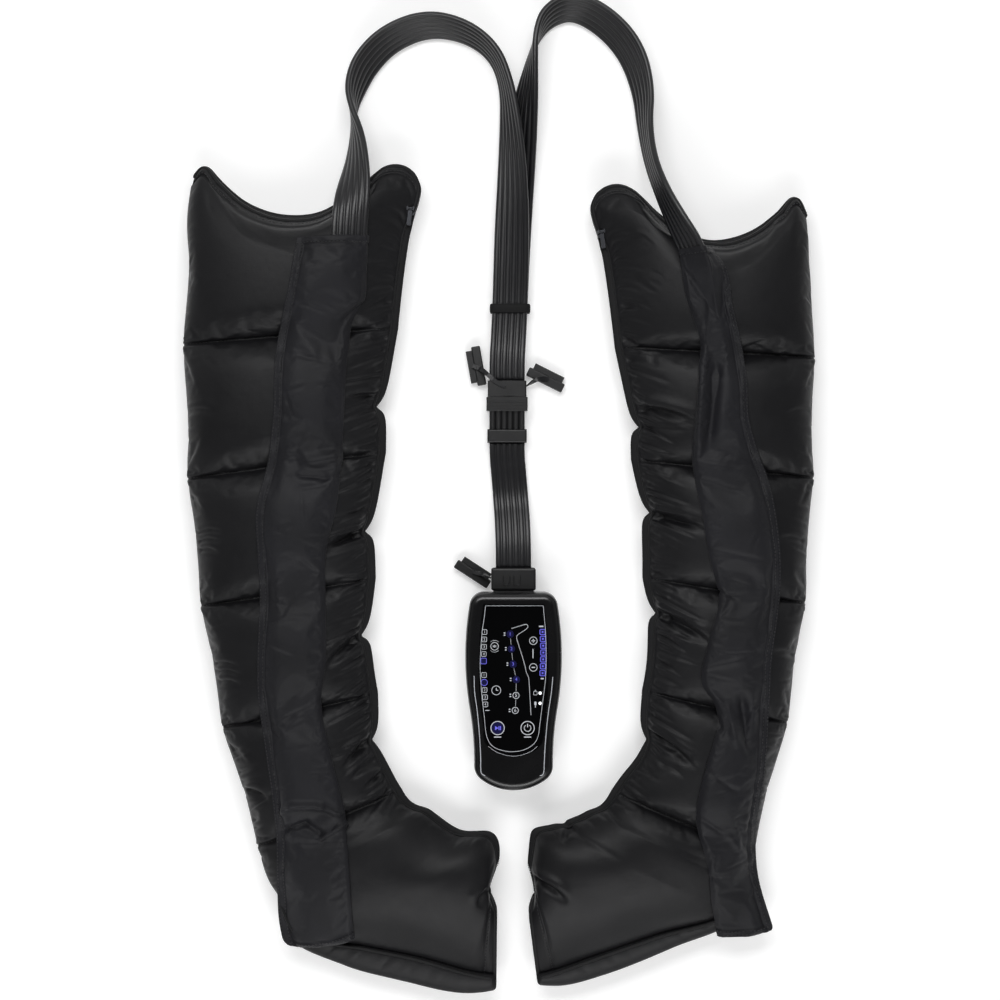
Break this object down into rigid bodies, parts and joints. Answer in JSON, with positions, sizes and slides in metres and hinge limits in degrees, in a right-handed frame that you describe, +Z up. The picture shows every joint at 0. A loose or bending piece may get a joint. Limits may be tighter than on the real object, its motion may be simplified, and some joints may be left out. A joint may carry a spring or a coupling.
{
  "type": "compression therapy pump",
  "caption": "Handheld air pump with a touch panel of keys, flat ribbon hoses and inflatable zip-up leg boots for compression therapy at home.",
  "frame": {"origin": "on the floor, at the middle of the box round the pump and the boots without their hoses", "axes": "+Z up off the floor, +Y along the legs toward the boots' open tops, +X toward the right-hand boot"},
  "size_m": [0.7496, 1.1833, 0.0919],
  "materials": {
    "boot_fabric": "black coated nylon, soft sheen",
    "zip_tape": "black woven tape with coil teeth",
    "zip_metal": "plated",
    "hose_rubber": "smooth black",
    "fitting_plastic": "satin black",
    "elastic": "black woven elastic",
    "case_plastic": "polished black",
    "panel_plastic": "polished black with lit marks",
    "key_plastic": "polished black with lit rings",
    "board": "green board",
    "switch_plastic": "moulded",
    "cell_wrap": "shrink wrap",
    "motor_steel": "drawn",
    "inner_plastic": "moulded",
    "screw_steel": "zinc plated",
    "foot_rubber": "moulded"
  },
  "bodies": {
    "boots_and_hoses": {"blanking_plugs": "fitting_plastic", "hose_band": "elastic", "hose_splitter": "fitting_plastic", "left_ankle_chamber": "boot_fabric", "left_boot_hose": "hose_rubber", "left_boot_sole": "boot_fabric", "left_boot_zip": "zip_tape", "left_calf_chamber": "boot_fabric", "left_foot_chamber": "boot_fabric", "left_hose_plug": "fitting_plastic", "left_hose_sleeve": "boot_fabric", "left_knee_chamber": "boot_fabric", "left_lower_thigh_chamber": "boot_fabric", "left_upper_thigh_chamber": "boot_fabric", "plug_tethers": "hose_rubber", "pump_hose": "hose_rubber", "pump_hose_plug": "fitting_plastic", "right_ankle_chamber": "boot_fabric", "right_boot_hose": "hose_rubber", "right_boot_sole": "boot_fabric", "right_boot_zip": "zip_tape", "right_calf_chamber": "boot_fabric", "right_foot_chamber": "boot_fabric", "right_hose_plug": "fitting_plastic", "right_hose_sleeve": "boot_fabric", "right_knee_chamber": "boot_fabric", "right_lower_thigh_chamber": "boot_fabric", "right_upper_thigh_chamber": "boot_fabric", "splitter_sockets": "fitting_plastic"},
    "pump": {"pump_upper_case": "case_plastic", "pump_lower_case": "case_plastic", "touch_panel": "panel_plastic", "key_switches": "switch_plastic", "control_board": "board", "battery_pack": "cell_wrap", "pump_motor": "motor_steel", "pump_head": "inner_plastic", "valve_block": "inner_plastic", "solenoid_valves": "motor_steel", "air_feed_tube": "hose_rubber", "outlet_socket": "fitting_plastic", "charge_socket": "inner_plastic", "case_screws": "screw_steel", "rubber_feet": "foot_rubber"},
    "power_button": {"power_button": "key_plastic"},
    "start_button": {"start_button": "key_plastic"},
    "pressure_up_button": {"pressure_up_button": "key_plastic"},
    "pressure_down_button": {"pressure_down_button": "key_plastic"},
    "mode_button": {"mode_button": "key_plastic"},
    "timer_button": {"timer_button": "key_plastic"},
    "chamber_button_1": {"chamber_button_1": "key_plastic"},
    "chamber_button_2": {"chamber_button_2": "key_plastic"},
    "chamber_button_3": {"chamber_button_3": "key_plastic"},
    "chamber_button_4": {"chamber_button_4": "key_plastic"},
    "chamber_button_5": {"chamber_button_5": "key_plastic"},
    "chamber_button_6": {"chamber_button_6": "key_plastic"},
    "left_slider": {"left_zip_slider": "zip_metal"},
    "left_pull": {"left_zip_pull": "zip_metal"},
    "right_slider": {"right_zip_slider": "zip_metal"},
    "right_pull": {"right_zip_pull": "zip_metal"}
  },
  "joints": [
    {"name": "pump_unplug", "type": "slide", "parent": "boots_and_hoses", "child": "pump", "axis": [0, -1, 0], "range_m": [0, 0.03]},
    {"name": "power_button_press", "type": "slide", "parent": "pump", "child": "power_button", "axis": [0, 0, -1], "range_m": [0, 0.0006], "stiffness_N_per_m": 1500},
    {"name": "start_button_press", "type": "slide", "parent": "pump", "child": "start_button", "axis": [0, 0, -1], "range_m": [0, 0.0006], "stiffness_N_per_m": 1500},
    {"name": "pressure_up_button_press", "type": "slide", "parent": "pump", "child": "pressure_up_button", "axis": [0, 0, -1], "range_m": [0, 0.0006], "stiffness_N_per_m": 1500},
    {"name": "pressure_down_button_press", "type": "slide", "parent": "pump", "child": "pressure_down_button", "axis": [0, 0, -1], "range_m": [0, 0.0006], "stiffness_N_per_m": 1500},
    {"name": "mode_button_press", "type": "slide", "parent": "pump", "child": "mode_button", "axis": [0, 0, -1], "range_m": [0, 0.0006], "stiffness_N_per_m": 1500},
    {"name": "timer_button_press", "type": "slide", "parent": "pump", "child": "timer_button", "axis": [0, 0, -1], "range_m": [0, 0.0006], "stiffness_N_per_m": 1500},
    {"name": "chamber_button_1_press", "type": "slide", "parent": "pump", "child": "chamber_button_1", "axis": [0, 0, -1], "range_m": [0, 0.0006], "stiffness_N_per_m": 1500},
    {"name": "chamber_button_2_press", "type": "slide", "parent": "pump", "child": "chamber_button_2", "axis": [0, 0, -1], "range_m": [0, 0.0006], "stiffness_N_per_m": 1500},
    {"name": "chamber_button_3_press", "type": "slide", "parent": "pump", "child": "chamber_button_3", "axis": [0, 0, -1], "range_m": [0, 0.0006], "stiffness_N_per_m": 1500},
    {"name": "chamber_button_4_press", "type": "slide", "parent": "pump", "child": "chamber_button_4", "axis": [0, 0, -1], "range_m": [0, 0.0006], "stiffness_N_per_m": 1500},
    {"name": "chamber_button_5_press", "type": "slide", "parent": "pump", "child": "chamber_button_5", "axis": [0, 0, -1], "range_m": [0, 0.0006], "stiffness_N_per_m": 1500},
    {"name": "chamber_button_6_press", "type": "slide", "parent": "pump", "child": "chamber_button_6", "axis": [0, 0, -1], "range_m": [0, 0.0006], "stiffness_N_per_m": 1500},
    {"name": "left_zip_run", "type": "slide", "parent": "boots_and_hoses", "child": "left_slider", "axis": [-0.1159, -0.9933, 0], "range_m": [0, 0.11]},
    {"name": "left_pull_lift", "type": "hinge", "parent": "left_slider", "child": "left_pull", "pos_m": [-0.10571, 0.4379, 0.0395], "axis": [-0.9933, 0.1159, 0], "range_deg": [0, 150]},
    {"name": "right_zip_run", "type": "slide", "parent": "boots_and_hoses", "child": "right_slider", "axis": [0.1281, -0.9918, 0], "range_m": [0, 0.11]},
    {"name": "right_pull_lift", "type": "hinge", "parent": "right_slider", "child": "right_pull", "pos_m": [0.1198, 0.4108, 0.0395], "axis": [-0.9918, -0.1281, 0], "range_deg": [0, 150]}
  ]
}
